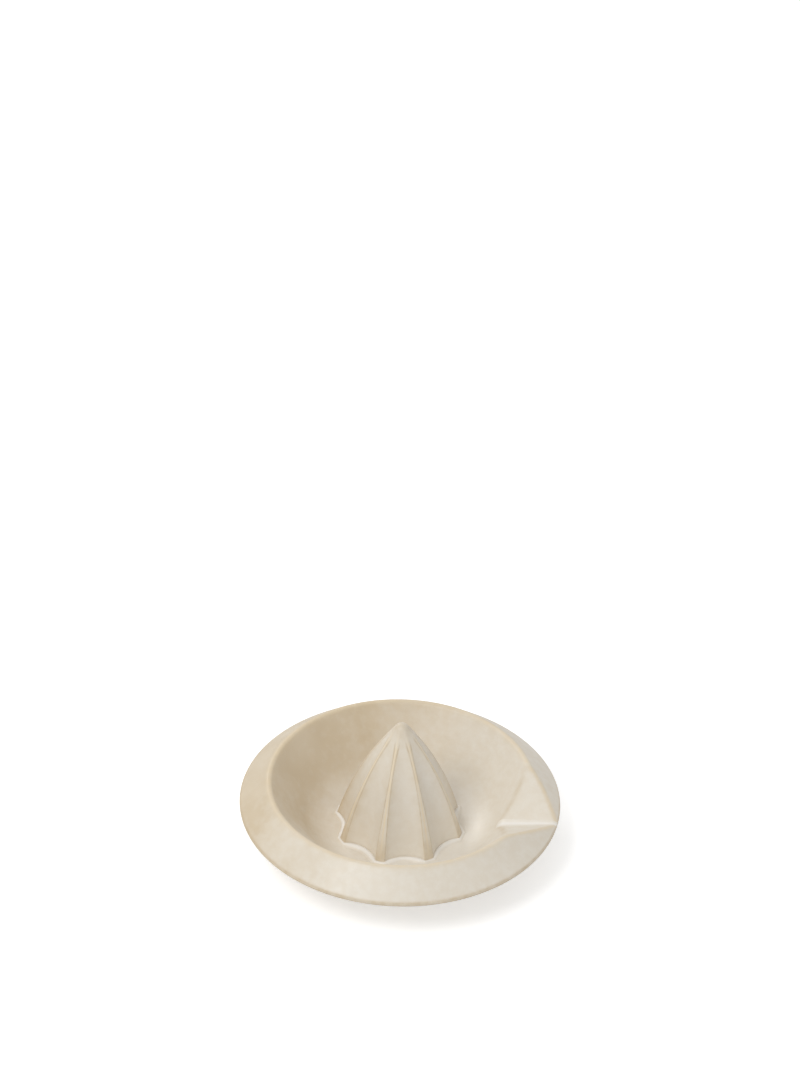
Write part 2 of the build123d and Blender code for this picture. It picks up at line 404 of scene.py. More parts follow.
class Mesh:
    """Gathers vertices, faces and per-vertex values of glaze and painted shade, then makes one Blender
    object.
    """

    def __init__(self, name):
        self.name = name
        self.points = []
        self.values = {"thin_and_shade": [], "pool": [], "bare_edge": []}
        self.faces = []
        self.count = 0

    def add(self, points, thin_and_shade=0.0, pool=0.0, bare_edge=0.0):
        """Adds an array of points (..., 3) and returns their numbers in the same layout."""
        flat = points.reshape(-1, 3)
        self.points.append(flat)
        for key, value in (("thin_and_shade", thin_and_shade), ("pool", pool), ("bare_edge", bare_edge)):
            self.values[key].append(np.broadcast_to(value, points.shape[:-1]).reshape(-1))
        numbers = np.arange(len(flat)).reshape(points.shape[:-1]) + self.count
        self.count += len(flat)
        return numbers

    def grid(self, numbers, wrap_columns=False, wrap_rows=False):
        """Quads over a grid of vertex numbers, rows first."""
        if wrap_columns:
            numbers = np.concatenate([numbers, numbers[:, :1]], axis=1)
        if wrap_rows:
            numbers = np.concatenate([numbers, numbers[:1]], axis=0)
        a, b = numbers[:-1, :-1], numbers[:-1, 1:]
        c, d = numbers[1:, 1:], numbers[1:, :-1]
        self.faces.append(np.stack([a, b, c, d], axis=-1).reshape(-1, 4))

    def cap(self, numbers, peak_height, thin_and_shade):
        """Closes rows that go round the axis with one point on it."""
        tip = self.add(np.array([[[0.0, 0.0, peak_height]]]), thin_and_shade)
        self.grid(numbers, wrap_columns=True)
        self.grid(np.concatenate([numbers[-1:], np.repeat(tip, numbers.shape[1], axis=1)]), wrap_columns=True)

    def slab(self, top, under):
        """Closes an upper and a lower grid of the same layout into one thin body."""
        self.grid(top)
        self.grid(under[:, ::-1])
        for a, b in (
            (top[:, 0], under[:, 0]), (under[:, -1], top[:, -1]), (under[0], top[0]), (top[-1], under[-1])
        ):
            self.grid(np.stack([a, b]))

    def finish(self, material, sharp=sharp_angle):
        """Builds the object, joins vertices that meet and shades it smooth between its sharp edges."""
        mesh = bpy.data.meshes.new(self.name)
        points = np.concatenate(self.points) * mm
        faces = np.concatenate(self.faces)
        mesh.from_pydata(points.tolist(), [], faces.tolist())
        for key, parts in self.values.items():
            layer = mesh.attributes.new(key, "FLOAT", "POINT")
            layer.data.foreach_set("value", np.concatenate(parts).astype(np.float32))
        piece = bpy.data.objects.new(self.name, mesh)
        bpy.context.scene.collection.objects.link(piece)
        join_meeting_vertices(mesh)
        mesh.polygons.foreach_set("use_smooth", [True] * len(mesh.polygons))
        mesh.set_sharp_from_angle(angle=sharp)
        mesh.materials.append(material)
        return piece


def join_meeting_vertices(mesh):
    """Joins vertices in the same place and turns every face outwards."""
    work = bmesh.new()
    work.from_mesh(mesh)
    bmesh.ops.remove_doubles(work, verts=work.verts, dist=join_reach * mm)
    bmesh.ops.dissolve_degenerate(work, edges=work.edges, dist=join_reach * mm)
    bmesh.ops.recalc_face_normals(work, faces=work.faces)
    work.to_mesh(mesh)
    work.free()


# The solids' round edges are drawn in facets, so the dressed part keeps a hair inside their outermost reach
inside_share = 0.9998


def cylinder_points(radius, angle, height):
    radius, angle, height = np.broadcast_arrays(radius * inside_share, angle, height)
    return np.stack([radius * np.cos(angle), radius * np.sin(angle), height], axis=-1)


# Angles of the columns: fine inside the spout's sector, coarser round the rest of the dish
half_sector = spout_leaf_angle * np.sin(np.linspace(0, 0.5 * np.pi, sector_columns)) ** sector_crowding
sector = np.concatenate([-half_sector[:0:-1], half_sector])
rest = np.linspace(spout_leaf_angle, 2 * np.pi - spout_leaf_angle, rest_columns)[1:-1]


def leaf_root(angle):
    """Radius where the spout's leaf begins, on the bowl's side."""
    return spout_leaf_root + (seam_radius - spout_leaf_root) * np.abs(angle) / spout_leaf_angle


def leaf_end(angle):
    """Radius where the spout's leaf ends, on the brim's side."""
    past = np.clip((np.abs(angle) - spout_lip_angle) / (spout_leaf_angle - spout_lip_angle), 0, 1)
    return outer_radius + (seam_radius - outer_radius) * past


def thin_glaze(radius, angle):
    """How far the glaze has drawn back on edges, and how far the warm clay shows on the raised ones."""
    top = dish_top(radius)
    valley = valley_round(radius, angle)
    crease = hump(top - valley, 0, edge_width)
    past_crest = rise(radius, rim_centre[0] - 2, rim_centre[0] + 1)
    at_corner = rise(np.abs(angle), spout_corner_from, spout_corner_to) * (1 - past_crest)
    rim = hump(radius, rim_centre[0] - rim_line_inset, edge_width) * rise(valley - top, 0, cut_depth)
    lip = rise(radius, brim_end[0] - 0.5, brim_end[0] + 0.3)
    crease_thin = (crease_thin_share - corner_less_thin_share * at_corner) * crease
    thin_and_shade = np.maximum.reduce([crease_thin, rim_thin_share * rim, lip_thin_share * lip])
    return thin_and_shade, edge_warm_share * np.maximum(rim, past_crest * crease)


def pooled_glaze(radius, angle):
    """How far the glaze has run together in the spout's valley and on the bowl's floor."""
    inside = rise(dish_top(radius) - valley_round(radius, angle), 0, cut_depth)
    in_valley = hump(radius * np.sin(angle), valley_pool_side, valley_pool_width)
    on_floor = rise(radius, wall_foot[0] + 2, wall_foot[0] - 12)
    return np.maximum(valley_pool_share * inside * in_valley, floor_pool_share * on_floor)


def shell(name, columns, top_radii, under_radii, wrap, material):
    """A piece of the dish between its upper and lower surface. Radii are grids of rows by columns."""
    mesh = Mesh(name)
    angle = np.broadcast_to(columns, top_radii.shape)
    top = cylinder_points(top_radii, angle, top_height(top_radii, angle))
    thin_and_shade, warm = thin_glaze(top_radii, angle)
    top_numbers = mesh.add(top, thin_and_shade, pooled_glaze(top_radii, angle), warm)
    angle = np.broadcast_to(columns, under_radii.shape)
    under = cylinder_points(under_radii, angle, under_height(under_radii, angle))
    lip_band = rise(under_radii, lip_under[0] + 0.6, lip_under[0] + 1.8)
    under_numbers = mesh.add(under, lip_thin_share * lip_band)
    loop = np.concatenate([top_numbers, under_numbers[::-1]], axis=0)
    mesh.grid(loop, wrap_columns=wrap, wrap_rows=True)
    return mesh.finish(material)


def make_bowl(material):
    """The floor, corner and wall, up to the seam with the brim and round the spout's leaf."""
    columns = np.concatenate([sector, rest])
    seam = np.where(np.abs(columns) <= spout_leaf_angle, leaf_root(columns), seam_radius)
    top_rows = stations(
        (hollow_base_radius, 0), (floor_flat_radius, 5), (wall_foot[0], 18), (wall_top[0] - 0.6, 20),
        (wall_top[0] + round_row, 4), (brim_start[0] - round_row, 10), (seam_radius - seam_row, 3),
        (seam_radius, 1),
    )
    under_rows = stations(
        (hollow_base_radius, 0), (floor_flat_radius, 4), (outer_wall_foot[0], 18), (seam_radius - 3, 12),
        (seam_radius - seam_row, 9), (seam_radius, 1),
    )
    top_radii = stretched(top_rows, hollow_base_radius, seam)
    under_radii = stretched(under_rows, hollow_base_radius, seam)
    return shell("bowl_glazed", columns, top_radii, under_radii, True, material)


def lip_rows(first_turn, rows):
    """Radii round the lip, from a turn in degrees from straight up or down, out to its edge."""
    return lip_centre[0] + lip_round * np.sin(np.radians(np.linspace(first_turn, 90, rows)))


def make_brim(material):
    """The sloping flange and its rounded lip, from the seam outwards and round the spout's leaf."""
    beside_spout = sector[np.abs(sector) >= spout_lip_angle]
    columns = np.concatenate(
        [[spout_lip_angle], beside_spout[beside_spout > 0], rest,
         2 * np.pi + beside_spout[beside_spout < 0], [2 * np.pi - spout_lip_angle]]
    )
    nearest = np.where(columns > np.pi, columns - 2 * np.pi, columns)
    seam = np.where(np.abs(nearest) <= spout_leaf_angle, leaf_end(nearest), seam_radius)
    top_stops = ((seam_radius, 0), (seam_radius + seam_row, 1), (brim_end[0] - round_row, 22))
    under_stops = (
        (seam_radius, 0), (seam_radius + seam_row, 1), (seam_radius + 3, 8), (lip_under[0] - 0.3, 10)
    )
    top_rows = np.concatenate([stations(*top_stops), lip_rows(40, 9)])
    under_rows = np.concatenate([stations(*under_stops), lip_rows(-41, 17)])
    top_radii = stretched(top_rows, outer_radius, seam)
    under_radii = stretched(under_rows, outer_radius, seam)
    return shell("brim_glazed", columns, top_radii, under_radii, False, material)


def crease_radius(angle, low, high, rising):
    """Radius between low and high where the V crosses the dish's surface, found by halving."""
    low, high = np.broadcast_to(low, angle.shape).copy(), np.broadcast_to(high, angle.shape).copy()
    for _ in range(search_steps):
        middle = 0.5 * (low + high)
        cut = dish_top(middle) > valley_round(middle, angle)
        lower_half = cut if rising else ~cut
        high = np.where(lower_half, middle, high)
        low = np.where(lower_half, low, middle)
    return 0.5 * (low + high)


def make_spout(material):
    """The leaf between bowl and brim, whose rows crowd where the V cuts through the rim."""
    crest = rim_centre[0] - 0.54
    over_crest = dish_top(np.full_like(sector, crest)) > valley_round(crest, sector)
    root, end = leaf_root(sector), leaf_end(sector)
    inner = np.where(over_crest, crease_radius(sector, root, crest, True), np.clip(crest, root, end))
    outer = np.where(over_crest, crease_radius(sector, crest, end, False), np.clip(crest + 0.6, root, end))
    outer = np.minimum(outer, end - least_row)
    rows = []
    for start, stop, count in ((root, inner, 20), (inner, outer, 56), (outer, end, 26)):
        rows.extend(start + share * (stop - start) for share in crowd_both(count)[:-1])
    under_share = np.sin(0.5 * np.pi * np.linspace(0, 1, 70))[:, None]
    under_radii = root + under_share * (end - root)
    return shell("spout_glazed", sector, np.array(rows + [end]), under_radii, False, material)


def flute_surface(height, turn):
    """Distance from the axis of a flute's surface, at a height and an angle from the flute's middle."""
    across = np.zeros(np.broadcast(height, turn).shape)
    slope = np.tan(turn)
    for _ in range(search_steps):
        bow = np.sqrt(np.maximum(flute_radius**2 - across**2, 0.01))
        reach = flute_line_radius + flute_radius - bow
        along = flute_centre[0] + np.sqrt(reach**2 - (height - flute_centre[1]) ** 2)
        across = 0.5 * across + 0.5 * along * slope
    return along / np.cos(turn)


def ridge_radius(height):
    """Distance from the axis of the ridge line, tip included."""
    tip = np.sqrt(np.maximum(reamer_tip_round**2 - (height - tip_centre[1]) ** 2, 0))
    return np.where(height < ridge_top[1], on_ridge_line(np.minimum(height, ridge_top[1])), tip)


def reamer_radius(height, turn):
    """Distance from the axis of the reamer's surface, and how far the flute there lies inside the ridges.

    turn is the angle from the nearest flute's middle.
    """
    ridge = ridge_radius(height)
    flute = flute_surface(height, turn)
    near_end = rise(height, apex_height - flute_end_soft_from, apex_height - flute_end_soft_to)
    softness = ridge_edge_soft + (flute_end_soft - ridge_edge_soft) * near_end
    return soft_min(ridge, flute, np.minimum(softness, most_soft_share * ridge)), ridge - flute


def flute_edge(height):
    """Angle from a flute's middle to the edge of the ridge beside it, found by halving."""
    low, high = np.zeros_like(height), np.full_like(height, half_flute)
    for _ in range(search_steps):
        middle = 0.5 * (low + high)
        inside = flute_surface(height, middle) < ridge_radius(height)
        low = np.where(inside, middle, low)
        high = np.where(inside, high, middle)
    return np.clip(0.5 * (low + high), math.radians(6), half_flute - math.radians(1.2))


def reamer_columns(height):
    """Angles round the reamer at each height, with columns that follow the ridges' edges."""
    edge = flute_edge(height)[:, None]
    to_edge = (1 - (1 - np.linspace(0, 1, flute_columns)) ** flute_crowding)[None, :]
    to_ridge = crowd_both(ridge_columns)[None, :]
    half = np.concatenate([edge * to_edge, edge + (half_flute - edge) * to_ridge[:, 1:]], axis=1)
    both = np.concatenate([-half[:, :0:-1], half[:, :-1]], axis=1)
    middles = reamer_turn + half_flute * (1 + 2 * np.arange(flute_count))
    angle = np.concatenate([middle + both for middle in middles], axis=1)
    turn = np.concatenate([both] * flute_count, axis=1)
    return angle, turn


def reamer_rows():
    """Heights of the rows of the reamer's outside, fine at its foot, up to just below its apex."""
    foot_top = floor_height + 6
    foot = np.linspace(floor_height, foot_top, 16)[:-1]
    sides = np.linspace(foot_top, ridge_top[1], 96)
    first_turn = math.atan2(ridge_top[1] - tip_centre[1], ridge_top[0])
    tip_turn = np.linspace(first_turn, 0.5 * np.pi, 9)[1:-1]
    return np.concatenate([foot, sides, tip_centre[1] + reamer_tip_round * np.sin(tip_turn)])


def reamer_glaze(height, turn, radius, depth):
    """How thin, white and warm the reamer's glaze is, with painted shade (tan and less white) in the corner
    at its foot above the bead. depth is how far a flute lies inside the ridges.
    """
    from_crest = radius * (half_flute - np.abs(turn))
    beside_ridge = rise(np.abs(turn) / half_flute, 0.3, 0.7)
    below_tip = rise(height, apex_height - 2.8, apex_height - 9.8)
    near_foot = rise(height, floor_height + 16, floor_height + 2)
    # Painted shade: the lowest 3 mm of the reamer, in the corner above the bead, is painted tan and less
    # white
    foot = rise(height, floor_height + 3, floor_height)
    crest = hump(from_crest, 0, 0.42) * below_tip
    edge = hump(depth, 0.1, 0.22) * below_tip * beside_ridge
    land = rise(depth, 0.3, -0.2) * below_tip * beside_ridge
    tip_rub = tip_thin_share * (1 - rise(height, apex_height - 1, apex_height - 9))
    layers = np.broadcast_arrays(0.7 * near_foot * land, edge, 0.35 * foot, tip_rub)
    thin_and_shade = np.maximum.reduce(layers) * (1 - 0.9 * crest * (1 - near_foot))
    pooled = flute_pool_share * rise(depth, 0.3, 2.8) * (1 - 0.6 * foot)
    return thin_and_shade, pooled, 0.95 * crest * (1 - 0.75 * near_foot)


def hollow_section():
    """Radii and heights of the reamer's hollow, up to just below its peak."""
    first_turn = math.atan2(hollow_top[1] - hollow_tip_centre[1], hollow_top[0])
    turn = np.linspace(first_turn, 0.5 * np.pi, 7)[1:-1]
    height = np.linspace(floor_height, hollow_top[1], 30)
    radius = flute_centre[0] + np.sqrt(hollow_line_radius**2 - (height - flute_centre[1]) ** 2)
    return (
        np.concatenate([radius, hollow_tip_round * np.cos(turn)])[:, None],
        np.concatenate([height, hollow_tip_centre[1] + hollow_tip_round * np.sin(turn)])[:, None],
    )


def make_reamer(material):
    """The fluted cone, its hollow and the ring between them that stands on the floor."""
    mesh = Mesh("reamer_glazed")
    rows = reamer_rows()
    angle, turn = reamer_columns(rows)
    height = rows[:, None]
    radius, depth = reamer_radius(height, turn)
    outside = mesh.add(cylinder_points(radius, angle, height), *reamer_glaze(height, turn, radius, depth))
    mesh.cap(outside, apex_height, tip_thin_share)
    inner_radius, inner_height = hollow_section()
    inside = mesh.add(cylinder_points(inner_radius, angle[:1], inner_height))
    mesh.cap(inside, hollow_tip_centre[1] + hollow_tip_round, 0.0)
    mesh.grid(np.stack([inside[0], outside[0]]), wrap_columns=True)
    return mesh.finish(material)


def bead_profile(share):
    """Height of the bead, as a share, from the reamer at 0 to the floor at 1. It peaks near the reamer."""
    if share >= 1:
        return 0.0
    return math.sin(math.pi * (bead_peak_share + (1 - bead_peak_share) * share)) ** bead_roundness


def unit_rows(vectors):
    return vectors / np.linalg.norm(vectors, axis=1, keepdims=True)


def outward_from(outline):
    """Directions square to a closed outline in plan, evened out so that they fan round its corners."""
    along = np.roll(outline, -2, axis=0) - np.roll(outline, 2, axis=0)
    outward = unit_rows(np.stack([along[:, 1], -along[:, 0]], axis=-1))
    for _ in range(6):
        outward = unit_rows(np.roll(outward, 1, axis=0) + 2 * outward + np.roll(outward, -1, axis=0))
    return outward


def make_reamer_bead(material):
    """Glaze that has run down the reamer and stands as a soft roll round its foot."""
    mesh = Mesh("reamer_glaze_bead_glazed")
    angle, turn = (columns[0] for columns in reamer_columns(np.array([floor_height])))
    base = reamer_radius(floor_height, turn)[0]
    outline = np.stack([base * np.cos(angle), base * np.sin(angle)], axis=-1)
    outward = outward_from(outline)
    on_ridge = rise(np.abs(turn), math.radians(14), math.radians(21))
    uneven = 1 + 0.10 * np.sin(3 * angle + 1) + 0.06 * np.sin(11 * angle)
    width = (bead_width + (bead_width_at_ridge - bead_width) * on_ridge) * uneven
    height = (bead_height + (bead_height_at_ridge - bead_height) * on_ridge) * uneven

    def row(out, level):
        spot = outline + outward * out[:, None]
        return np.stack([spot[:, 0], spot[:, 1], np.broadcast_to(level, len(angle))], axis=-1)

    rows, pooled = [], []
    for share in np.linspace(0, 1, 19):
        profile = bead_profile(share)
        rows.append(row(share * (width + bead_tuck) - bead_tuck, floor_height + height * profile - bead_sink))
        pooled.append(smooth_step(1.2 * profile) * (bead_pool_share - bead_less_pool_share * on_ridge))
    for share in (bead_root_width_share, 0.0):
        rows.append(row(share * width - bead_root_tuck * (1 - share), floor_height - bead_root_depth))
        pooled.append(np.zeros(len(angle)))
    numbers = mesh.add(np.stack(rows), 0.0, np.stack(pooled))
    mesh.grid(numbers, wrap_columns=True, wrap_rows=True)
    return mesh.finish(material)


def make_spout_bead(material):
    """Glaze that has run together along the bottom of the spout, cut off by the dish's own surface."""
    mesh = Mesh("spout_glaze_bead_glazed")
    start = float(crease_radius(np.zeros(1), spout_leaf_root, rim_centre[0], True)[0])
    inner_end = start - pool_overrun
    share = crowd_both(110)[:, None]
    x = inner_end + share * (outer_radius - pool_lip_gap - inner_end)
    half_width = pool_half_width_at_root + (pool_half_width_at_lip - pool_half_width_at_root) * share
    across = np.linspace(-pool_spread_share, pool_spread_share, 25)[None, :]
    y = half_width * across
    radius, angle = np.hypot(x, y), np.arctan2(y, x)
    bed = top_height(radius, angle)
    level = valley_height(x, half_width) - pool_hollow * np.maximum(1 - across**2, 0)
    level = soft_min(dish_top(radius), level, crease_soft)
    settled = rise(x, inner_end, start + pool_overrun)
    top = bed - pool_sink + (level - bed + pool_sink) * settled
    under = np.minimum(bed, top) - pool_thickness
    pooled = strip_pool_share * hump(across, -0.2, 0.62) * settled
    top_numbers, under_numbers = (
        mesh.add(np.stack(np.broadcast_arrays(x, y, height), axis=-1), 0.0, pooled) for height in (top, under)
    )
    mesh.slab(top_numbers, under_numbers)
    return mesh.finish(material)


def make_foot_ring(material):
    """The bare ring that the dish stands on, with rounded edges at the table."""
    mesh = Mesh("foot_ring_clay")
    foot_outer = floor_flat_radius + foot_ring_reach
    foot_inner = foot_outer - foot_ring_width
    embed = 0.2
    turns = np.linspace(0, 0.5 * np.pi, 7)
    outer_edge = [
        (foot_outer - foot_ring_edge * (1 - math.cos(t)), foot_ring_edge * (1 - math.sin(t))) for t in turns
    ]
    inner_edge = [
        (foot_inner + foot_ring_edge * (1 - math.sin(t)), foot_ring_edge * (1 - math.cos(t))) for t in turns
    ]
    top_radii = np.linspace(foot_inner, foot_outer, 9)
    top_edge = [(r, float(dish_under(np.array([r]))[0]) + embed) for r in top_radii]
    up_shares = np.linspace(0.35, 1, 4)[:-1]
    outer_rise, inner_rise = (top_edge[end][1] - foot_ring_edge for end in (-1, 0))
    outer_side = [(foot_outer, foot_ring_edge + outer_rise * s) for s in up_shares[::-1]]
    inner_side = [(foot_inner, foot_ring_edge + inner_rise * s) for s in up_shares]
    section = np.array(top_edge + outer_side + outer_edge + inner_edge + inner_side)
    angle = np.linspace(0, 2 * np.pi, foot_ring_columns + 1)[None, :-1]
    numbers = mesh.add(cylinder_points(section[:, :1], angle, section[:, 1:]))
    mesh.grid(numbers, wrap_columns=True, wrap_rows=True)
    return mesh.finish(material, foot_sharp_angle)


class Nodes:
    """A small helper for node trees: add() makes a node, join() links two sockets."""

    def __init__(self, tree):
        self.tree = tree

    def add(self, kind, **settings):
        node = self.tree.nodes.new(kind)
        for key, value in settings.items():
            setattr(node, key, value)
        return node

    def join(self, source, target):
        self.tree.links.new(source, target)

    def noise(self, coordinates, scale, detail=2.0, roughness=0.5):
        node = self.add("ShaderNodeTexNoise")
        node.inputs["Scale"].default_value = scale
        node.inputs["Detail"].default_value = detail
        node.inputs["Roughness"].default_value = roughness
        self.join(coordinates, node.inputs["Vector"])
        return node.outputs["Fac"]

    def ramp(self, value, low, high, to_low=0.0, to_high=1.0):
        """Goes smoothly from to_low, where the value is low, to to_high, where it is high."""
        node = self.add("ShaderNodeMapRange", interpolation_type="SMOOTHSTEP")
        node.inputs["From Min"].default_value = low
        node.inputs["From Max"].default_value = high
        node.inputs["To Min"].default_value = to_low
        node.inputs["To Max"].default_value = to_high
        self.join(value, node.inputs["Value"])
        return node.outputs["Result"]

    def math(self, operation, a, b=0.0):
        node = self.add("ShaderNodeMath", operation=operation)
        for socket, value in zip(node.inputs, (a, b)):
            if isinstance(value, (int, float)):
                socket.default_value = value
            else:
                self.join(value, socket)
        return node.outputs[0]

    def times(self, a, b):
        return self.math("MULTIPLY", a, b)

    def plus(self, a, b):
        return self.math("ADD", a, b)

    def mix(self, factor, a, b):
        node = self.add("ShaderNodeMix", data_type="RGBA")
        for name, value in (("Factor", factor), ("A", a), ("B", b)):
            socket = next(s for s in node.inputs if s.name == name and s.enabled)
            if isinstance(value, (int, float)):
                socket.default_value = value
            elif isinstance(value, tuple):
                socket.default_value = (*value, 1)
            else:
                self.join(value, socket)
        return next(s for s in node.outputs if s.name == "Result" and s.enabled)

    def attribute(self, name):
        return self.add("ShaderNodeAttribute", attribute_name=name).outputs["Fac"]

    def bump(self, relief, shader, strength, distance):
        """Lets the relief tilt the shader's normal. The distance is in metres."""
        node = self.add("ShaderNodeBump")
        node.inputs["Strength"].default_value = strength
        node.inputs["Distance"].default_value = distance
        self.join(relief, node.inputs["Height"])
        self.join(node.outputs[0], shader.inputs["Normal"])


def linear(red, green, blue):
    """A colour given as it looks on a screen, 0 to 255, in the renderer's linear values."""
    shares = (red / 255, green / 255, blue / 255)
    return tuple(c / 12.92 if c <= 0.04045 else ((c + 0.055) / 1.055) ** 2.4 for c in shares)


def new_material(name):
    """A material with an empty main shader, its node helper and the object's own coordinates."""
    material = bpy.data.materials.new(name)
    material.use_nodes = True
    material.node_tree.nodes.clear()
    nodes = Nodes(material.node_tree)
    shader = nodes.add("ShaderNodeBsdfPrincipled")
    output = nodes.add("ShaderNodeOutputMaterial")
    nodes.join(shader.outputs[0], output.inputs["Surface"])
    place = nodes.add("ShaderNodeTexCoord").outputs["Object"]
    return material, nodes, shader, place


cream = linear(214, 199, 174)
cream_warm = linear(208, 191, 163)
# Milky cream, for the milky mottle and for the painted sheen towards the front right
cream_milky_and_painted_sheen = linear(228, 221, 208)
tan_break = linear(190, 167, 128)
edge_yellow = linear(232, 214, 182)
white_pool = linear(236, 232, 225)
iron_speck = linear(120, 92, 62)
clay_tan = linear(196, 164, 122)
clay_pale = linear(214, 186, 146)
clay_grit = linear(158, 122, 84)

# The cream is painted milkier towards the front right of the dish, as a painted sheen, over this stretch in
# metres
painted_sheen_side = (0.92, -0.39, 0.0)
painted_sheen_from = -0.062
painted_sheen_to = 0.030

# Scales of the noises and specks, as cells in a metre
cloud_scale = 38
drift_scale = 30
mottle_scale = 240
ragged_scale = 260
speck_scale = 130
shine_scale = 150
swell_scale = 55
grain_scale = 900
ring_warp_scale = 20
clay_cloud_scale = 70
clay_grit_scale = 1900
clay_relief_scale = 1400

# Throwing rings, in radians for each metre from the axis
ring_turns = 3100


def add_specks(nodes, place, colour):
    """Rare dark specks of iron, of uneven size."""
    specks = nodes.add("ShaderNodeTexVoronoi", feature="F1", distance="EUCLIDEAN")
    specks.inputs["Scale"].default_value = speck_scale
    specks.inputs["Randomness"].default_value = 1
    nodes.join(place, specks.inputs["Vector"])
    size = nodes.ramp(specks.outputs["Color"], 0.80, 1.0, 0.0, 0.055)
    spot = nodes.math("LESS_THAN", specks.outputs["Distance"], size)
    return nodes.mix(nodes.times(spot, 0.5), colour, iron_speck)


def milkiness_and_painted_sheen(nodes, place):
    """How milky the cream is: a painted sheen that drifts milkier towards the front right of the dish, and a
    fine mottle of milky glaze on it.
    """
    lean = nodes.add("ShaderNodeVectorMath", operation="DOT_PRODUCT")
    lean.inputs[1].default_value = painted_sheen_side
    nodes.join(place, lean.inputs[0])
    drift = nodes.times(nodes.math("SUBTRACT", nodes.noise(place, drift_scale, 3, 0.55), 0.5), 0.06)
    # Painted sheen: the cream turns milkier towards the front right of the dish
    painted_sheen = nodes.ramp(nodes.plus(lean.outputs["Value"], drift), painted_sheen_from, painted_sheen_to)
    mottle = nodes.ramp(nodes.noise(place, mottle_scale, 3, 0.6), 0.3, 0.75, -0.12, 0.12)
    return nodes.plus(nodes.times(painted_sheen, 0.85), mottle)


def glaze_colour(nodes, place, whiteness):
    """Cream, mottled and milky with a painted sheen towards the front right, tan where it is thin and as
    painted shade at the reamer's foot, yellow on the crests and white where it pools.
    """
    cloud = nodes.ramp(nodes.noise(place, cloud_scale), 0.36, 0.66)
    colour = nodes.mix(milkiness_and_painted_sheen(nodes, place), nodes.mix(cloud, cream_warm, cream), cream_milky_and_painted_sheen)
    ragged = nodes.ramp(nodes.noise(place, ragged_scale, 3, 0.6), 0.25, 0.8, 0.45, 1.0)
    # Tan where the glaze thins on edges, and painted shade in the corner at the reamer's foot
    colour = nodes.mix(nodes.times(nodes.attribute("thin_and_shade"), nodes.times(ragged, 0.75)), colour, tan_break)
    colour = nodes.mix(nodes.times(nodes.attribute("bare_edge"), ragged), colour, edge_yellow)
    colour = nodes.mix(nodes.math("MAXIMUM", nodes.attribute("pool"), whiteness), colour, white_pool)
    return add_specks(nodes, place, colour)


def ring_wave(nodes, place):
    """Faint rings round the axis, slightly warped, as fingers leave them in thrown clay."""
    split = nodes.add("ShaderNodeSeparateXYZ")
    nodes.join(place, split.inputs[0])
    x_square, y_square = (nodes.times(split.outputs[i], split.outputs[i]) for i in (0, 1))
    distance = nodes.math("SQRT", nodes.plus(x_square, y_square))
    warped = nodes.plus(distance, nodes.times(nodes.noise(place, ring_warp_scale, 1), 0.0022))
    return nodes.times(nodes.math("SINE", nodes.times(warped, ring_turns)), 0.018)


def glaze_material(name, roughness, whiteness, rings):
    """Satin cream glaze: thin and tan on edges, painted tan as shade at the reamer's foot, milky with a
    painted sheen towards the front right, white where it pools, faintly mottled and speckled.
    """
    material, nodes, shader, place = new_material(name)
    nodes.join(glaze_colour(nodes, place, whiteness), shader.inputs["Base Color"])
    shine = nodes.noise(place, shine_scale, 3, 0.6)
    nodes.join(nodes.ramp(shine, 0.3, 0.7, roughness - 0.05, roughness + 0.06), shader.inputs["Roughness"])
    shader.inputs["Specular IOR Level"].default_value = 0.5
    swell = nodes.times(nodes.noise(place, swell_scale), 0.7)
    relief = nodes.plus(swell, nodes.times(nodes.noise(place, grain_scale), 0.04))
    if rings:
        relief = nodes.plus(relief, ring_wave(nodes, place))
    nodes.bump(relief, shader, 0.35, 0.001)
    return material


def clay_material(name):
    """Bare fired clay: tan, matt and gritty."""
    material, nodes, shader, place = new_material(name)
    cloud = nodes.ramp(nodes.noise(place, clay_cloud_scale, 3), 0.3, 0.7)
    grit = nodes.ramp(nodes.noise(place, clay_grit_scale), 0.55, 0.75, 0, 0.4)
    colour = nodes.mix(grit, nodes.mix(cloud, clay_tan, clay_pale), clay_grit)
    nodes.join(colour, shader.inputs["Base Color"])
    shader.inputs["Roughness"].default_value = 0.85
    shader.inputs["Specular IOR Level"].default_value = 0.3
    nodes.bump(nodes.noise(place, clay_relief_scale, 3, 0.65), shader, 0.5, 0.0003)
    return material


def place_piece(piece, node):
    """Puts a dressed piece on the one body, in the place of its solid."""
    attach(piece, "root")
    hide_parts(node)


glaze = glaze_material("cream_glaze", 0.44, 0.0, False)
ringed_glaze = glaze_material("cream_glaze_ringed", 0.44, 0.0, True)
bead_glaze = glaze_material("pooled_glaze", 0.42, 0.25, False)
clay = clay_material("bare_clay")

place_piece(make_bowl(ringed_glaze), "bowl")
place_piece(make_brim(glaze), "brim")
place_piece(make_spout(glaze), "spout")
place_piece(make_reamer(glaze), "reamer")
place_piece(make_foot_ring(clay), "foot_ring")
place_piece(make_reamer_bead(bead_glaze), "reamer_glaze_bead")
place_piece(make_spout_bead(bead_glaze), "spout_glaze_bead")

# Camera: the photograph's viewing angle, fitted on the rim, the lip and the reamer
photo_height = 1067
camera_azimuth = math.radians(12.5)
camera_elevation = math.radians(39.15)
camera_roll = math.radians(1.42)
focal_pixels = 3260.0
pixels_per_mm = 2.003
target_pixel = (399.64, 799.60)
target_point = Vector((0, 0, lip_height * mm))
sensor_height = 36.0

# Stage: the surroundings' light, the glow and the grey of the floor, and how far the floor reaches
world_strength = 0.65
floor_glow = 0.42
floor_grey = 0.90
floor_reach = 4000.0


def line_of_sight(elevation):
    """Direction from the dish towards the camera's side, at an angle above the table."""
    across, away = math.sin(camera_azimuth), -math.cos(camera_azimuth)
    return Vector((across * math.cos(elevation), away * math.cos(elevation), math.sin(elevation)))


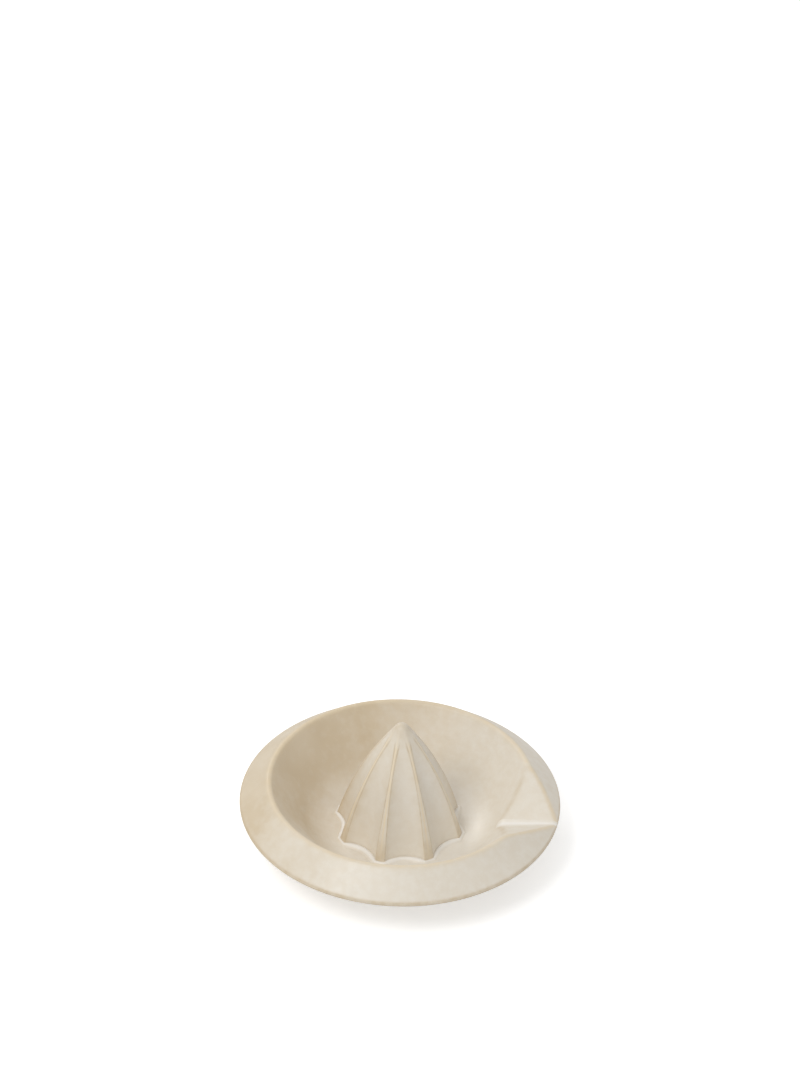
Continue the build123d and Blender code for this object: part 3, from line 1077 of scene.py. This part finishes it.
def make_camera():
    """A camera that puts the target point on its pixel, looking along the photograph's line of sight."""
    camera = bpy.data.objects.new("camera", bpy.data.cameras.new("camera"))
    bpy.context.scene.collection.objects.link(camera)
    camera.data.sensor_fit = "VERTICAL"
    camera.data.sensor_height = sensor_height
    camera.data.lens = focal_pixels * sensor_height / photo_height
    camera.data.clip_start = 0.01
    camera.data.clip_end = 50
    # The target lies below the picture's middle, so the camera looks up from the line to it by the dip.
    # The roll turns the picture about the target's pixel, so the unrolled view has the target there too.
    dip = math.atan2(target_pixel[1] - photo_height / 2, focal_pixels)
    depth = focal_pixels / pixels_per_mm * mm
    toward = line_of_sight(camera_elevation)
    camera.location = target_point + toward * (depth / math.cos(dip))
    right = Vector((math.cos(camera_azimuth), math.sin(camera_azimuth), 0))
    back = line_of_sight(camera_elevation - dip)
    turned = Matrix((right, back.cross(right), back)).transposed()
    spin = Matrix.Rotation(-camera_roll, 3, toward)
    camera.rotation_euler = (spin.inverted() @ turned).to_euler()
    return camera


bpy.context.scene.camera = make_camera()


def make_floor():
    """A pale floor that keeps the object's shadow and meets the background in white."""
    mesh = Mesh("floor")
    sides = (-floor_reach, floor_reach)
    mesh.grid(mesh.add(np.array([[[x, y, 0] for x in sides] for y in sides])))
    material, nodes, shader, place = new_material("floor")
    shader.inputs["Base Color"].default_value = (floor_grey, floor_grey, floor_grey, 1)
    shader.inputs["Roughness"].default_value = 0.9
    shader.inputs["Specular IOR Level"].default_value = 0.0
    shader.inputs["Emission Color"].default_value = (1, 1, 1, 1)
    seen = nodes.add("ShaderNodeLightPath").outputs["Is Camera Ray"]
    nodes.join(nodes.times(seen, floor_glow), shader.inputs["Emission Strength"])
    floor = mesh.finish(material)


def make_world():
    """Soft white surroundings, plain white where the camera sees them."""
    world = bpy.data.worlds.new("studio")
    bpy.context.scene.world = world
    world.use_nodes = True
    world.node_tree.nodes.clear()
    nodes = Nodes(world.node_tree)
    output = nodes.add("ShaderNodeOutputWorld")
    background = nodes.add("ShaderNodeBackground")
    background.inputs["Color"].default_value = (1, 1, 1, 1)
    seen = nodes.add("ShaderNodeLightPath").outputs["Is Camera Ray"]
    nodes.join(nodes.ramp(seen, 0, 1, world_strength, 1.0), background.inputs["Strength"])
    nodes.join(background.outputs[0], output.inputs["Surface"])


def make_lamp(name, direction, distance, size, power):
    """A soft round lamp. Its direction is given to the camera's right, away from it, and up."""
    lamp = bpy.data.lights.new(name, "AREA")
    lamp.shape = "DISK"
    lamp.size = size
    lamp.energy = power
    holder = bpy.data.objects.new(name, lamp)
    bpy.context.scene.collection.objects.link(holder)
    facing = Matrix.Rotation(camera_azimuth, 3, "Z") @ Vector(direction).normalized()
    holder.location = target_point + facing * distance
    holder.rotation_euler = facing.to_track_quat("Z", "Y").to_euler()


make_floor()
make_world()
make_lamp("key", (-0.40, -0.44, 0.80), distance=1.3, size=0.6, power=5.5)
make_lamp("back", (-0.36, 0.78, 0.51), distance=1.3, size=0.5, power=2.6)
bpy.context.scene.view_settings.view_transform = "Standard"
